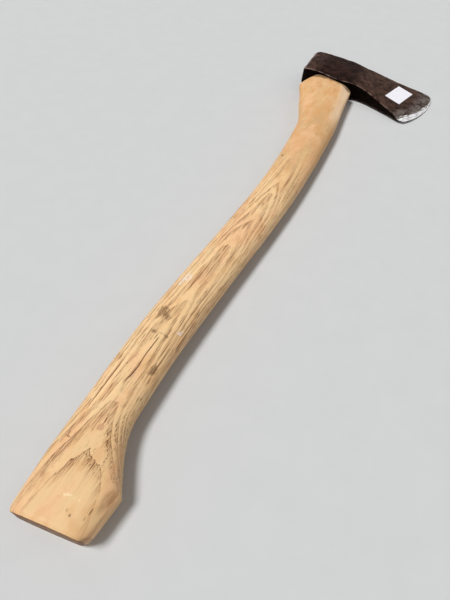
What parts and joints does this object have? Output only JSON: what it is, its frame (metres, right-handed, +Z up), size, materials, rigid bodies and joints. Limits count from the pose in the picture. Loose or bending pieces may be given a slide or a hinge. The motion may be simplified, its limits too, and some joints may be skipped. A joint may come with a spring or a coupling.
{
  "type": "axe",
  "caption": "Single bit felling axe lying on its side: forged head with a curved edge, wedged on a swept wooden haft that ends in a flared knob, with a bare price label on the cheek.",
  "frame": {"origin": "middle of the footprint of the axe lying on its side, on the surface that it lies on", "axes": "+X from the poll towards the cutting edge, +Y along the haft from the knob to the head, +Z up"},
  "size_m": [0.1716, 0.6508, 0.0314],
  "materials": {
    "forged_steel": "dark mottled brown-black patina over forging skin, bright where the bevel is ground",
    "haft_wood": "pale open-pored hardwood, dry and lightly worn, with cathedral grain",
    "wedge_wood": "end-grain hardwood, darkened",
    "wedge_steel": "dull steel with light rust",
    "label_paper": "bare white paper"
  },
  "bodies": {
    "root": {"head": "forged_steel", "haft": "haft_wood", "wooden_wedge": "wedge_wood", "steel_wedge": "wedge_steel", "price_label": "label_paper"}
  },
  "joints": []
}
